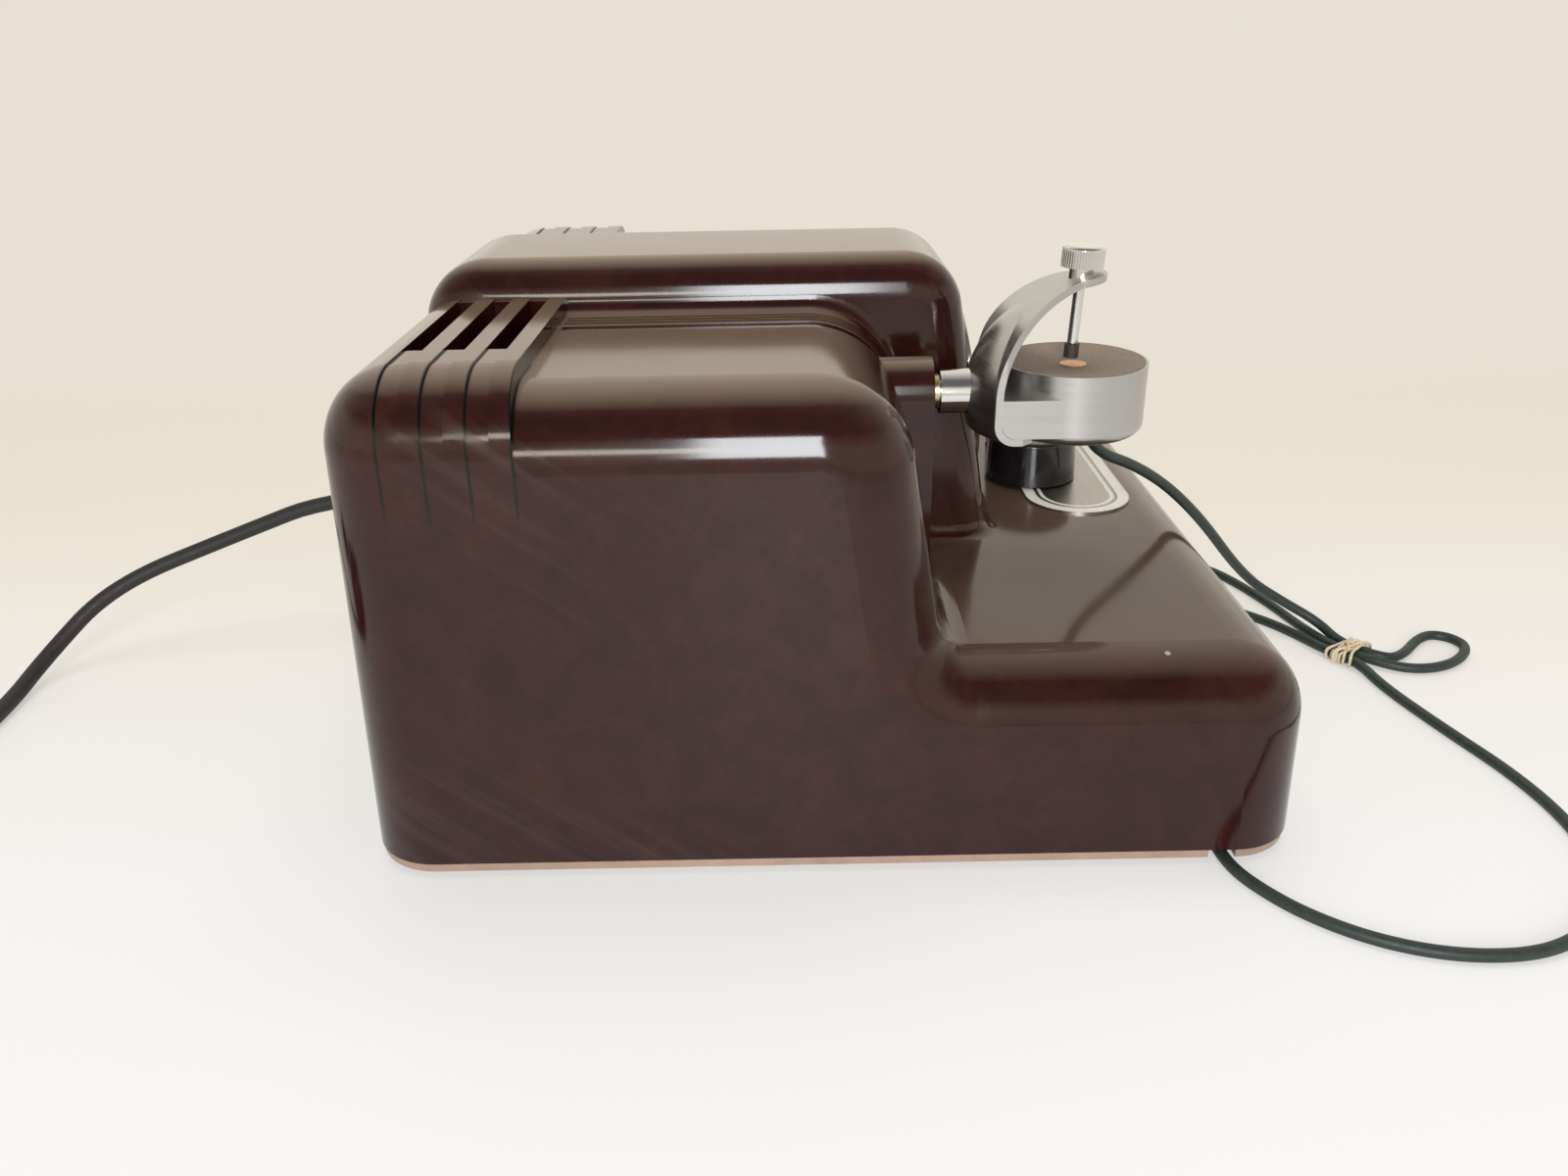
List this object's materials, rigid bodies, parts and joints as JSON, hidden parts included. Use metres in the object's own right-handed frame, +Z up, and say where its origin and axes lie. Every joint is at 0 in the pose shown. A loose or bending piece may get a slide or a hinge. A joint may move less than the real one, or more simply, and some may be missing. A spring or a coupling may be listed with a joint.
{
  "type": "bench watch timing machine",
  "caption": "Moulded bench machine for timing watches: stepped case with a louvred hump, control knobs on a front ledge, and a swivelling clamp microphone that holds the watch.",
  "frame": {"origin": "middle of the case on the table", "axes": "+Z up, -Y towards the user, the watch holder on the -X side"},
  "size_m": [0.329, 0.6666, 0.1674],
  "materials": {
    "bakelite": "polished dark red-brown moulding with faint mottling",
    "base_sheet": "pale pinkish-tan lacquer",
    "foot_rubber": "matt black",
    "screw_steel": "plain steel",
    "lead_rubber": "black rubber sheath",
    "lead_fabric": "dark green-black covering",
    "black_rubber": "matt black",
    "tie_rubber": "cream band",
    "bush_brass": "turned",
    "bright_chrome": "polished plating",
    "satin_metal": "satin brushed",
    "pad_fibre": "matt dark grey-brown",
    "contact_copper": "bare copper colour",
    "tip_rubber": "dark",
    "crystal": "pale crystal",
    "legend_metal": "satin plate with pale printed rings",
    "knob_black": "polished black moulding",
    "control_can": "pressed can",
    "bezel_chrome": "polished plating",
    "window_clear": "clear",
    "dial_enamel": "cream enamel with plain divisions",
    "disc_enamel": "black enamel with slots",
    "motor_enamel": "dark grey enamel",
    "zinc_sheet": "zinc plated",
    "lamp_holder_black": "black moulding",
    "lamp_clear": "clear",
    "core_iron": "stacked iron sheets",
    "winding_paper": "waxed paper wrap",
    "can_aluminium": "drawn can",
    "pin_brass": "bare"
  },
  "bodies": {
    "case": {"base_plate": "base_sheet", "base_screws": "screw_steel", "case_shell": "bakelite", "chassis": "zinc_sheet", "chassis_posts": "zinc_sheet", "chassis_screws": "screw_steel", "coil_tie": "tie_rubber", "control_nuts": "screw_steel", "dial_ring": "dial_enamel", "filter_capacitor": "can_aluminium", "gain_control": "control_can", "lead_grommet": "black_rubber", "lead_tie": "tie_rubber", "legend_plate": "legend_metal", "mains_coil": "lead_rubber", "mains_lead": "lead_rubber", "mains_strain_relief": "lead_rubber", "motor_body": "motor_enamel", "motor_bracket": "zinc_sheet", "neon_holder": "lamp_holder_black", "neon_lamp": "lamp_clear", "plug_body": "knob_black", "plug_pins": "pin_brass", "rate_control": "control_can", "rubber_feet": "foot_rubber", "swivel_bush": "bush_brass", "table_lead": "lead_fabric", "transformer_clamp": "zinc_sheet", "transformer_core": "core_iron", "transformer_screws": "screw_steel", "transformer_winding": "winding_paper", "valve_bases": "lamp_holder_black", "valve_envelopes": "lamp_clear", "valve_sockets": "lamp_holder_black", "window_bezel": "bezel_chrome", "window_glass": "window_clear"},
    "holder": {"swivel_shaft": "bright_chrome", "shaft_nut": "screw_steel", "clamp_frame": "satin_metal", "microphone_housing": "satin_metal", "microphone_pad": "pad_fibre", "contact_button": "contact_copper", "microphone_cover": "satin_metal", "cover_screws": "screw_steel", "lug_screws": "screw_steel", "pickup_crystal": "crystal", "lead_boot": "black_rubber", "screw_neck": "bright_chrome", "microphone_lead": "lead_fabric"},
    "presser": {"presser_tip": "tip_rubber"},
    "screw": {"clamp_screw": "bright_chrome", "clamp_knob": "bright_chrome"},
    "gain": {"gain_shaft": "screw_steel", "gain_knob": "knob_black"},
    "rate": {"rate_shaft": "screw_steel", "rate_knob": "knob_black"},
    "indicator": {"motor_shaft": "screw_steel", "indicator_disc": "disc_enamel"}
  },
  "joints": [
    {"name": "holder_swivel", "type": "hinge", "parent": "case", "child": "holder", "pos_m": [-0.058, -0.04, 0.1225], "axis": [0, -1, 0], "range_deg": [-90, 180], "deforming": ["microphone_lead"]},
    {"name": "clamp_slide", "type": "slide", "parent": "holder", "child": "presser", "axis": [0, -0.0436, 0.999], "range_m": [0, 0.012]},
    {"name": "clamp_screw_turn", "type": "hinge", "parent": "presser", "child": "screw", "pos_m": [-0.058, -0.0777, 0.1304], "axis": [0, -0.0436, 0.999], "range_deg": [0, 2160]},
    {"name": "gain_turn", "type": "hinge", "parent": "case", "child": "gain", "pos_m": [0.023, -0.085, 0.065], "axis": [0, 0, 1], "range_deg": [-150, 150]},
    {"name": "rate_turn", "type": "hinge", "parent": "case", "child": "rate", "pos_m": [0.066, -0.092, 0.065], "axis": [0, 0, 1], "range_deg": [-150, 150]},
    {"name": "indicator_spin", "type": "hinge", "parent": "case", "child": "indicator", "pos_m": [0, -0.05233, 0.112], "axis": [0, -0.989, 0.1478], "continuous": true}
  ],
  "couplings": [
    {"joint": "clamp_slide", "follows": "clamp_screw_turn", "m_per_rad": 0.00031831}
  ]
}
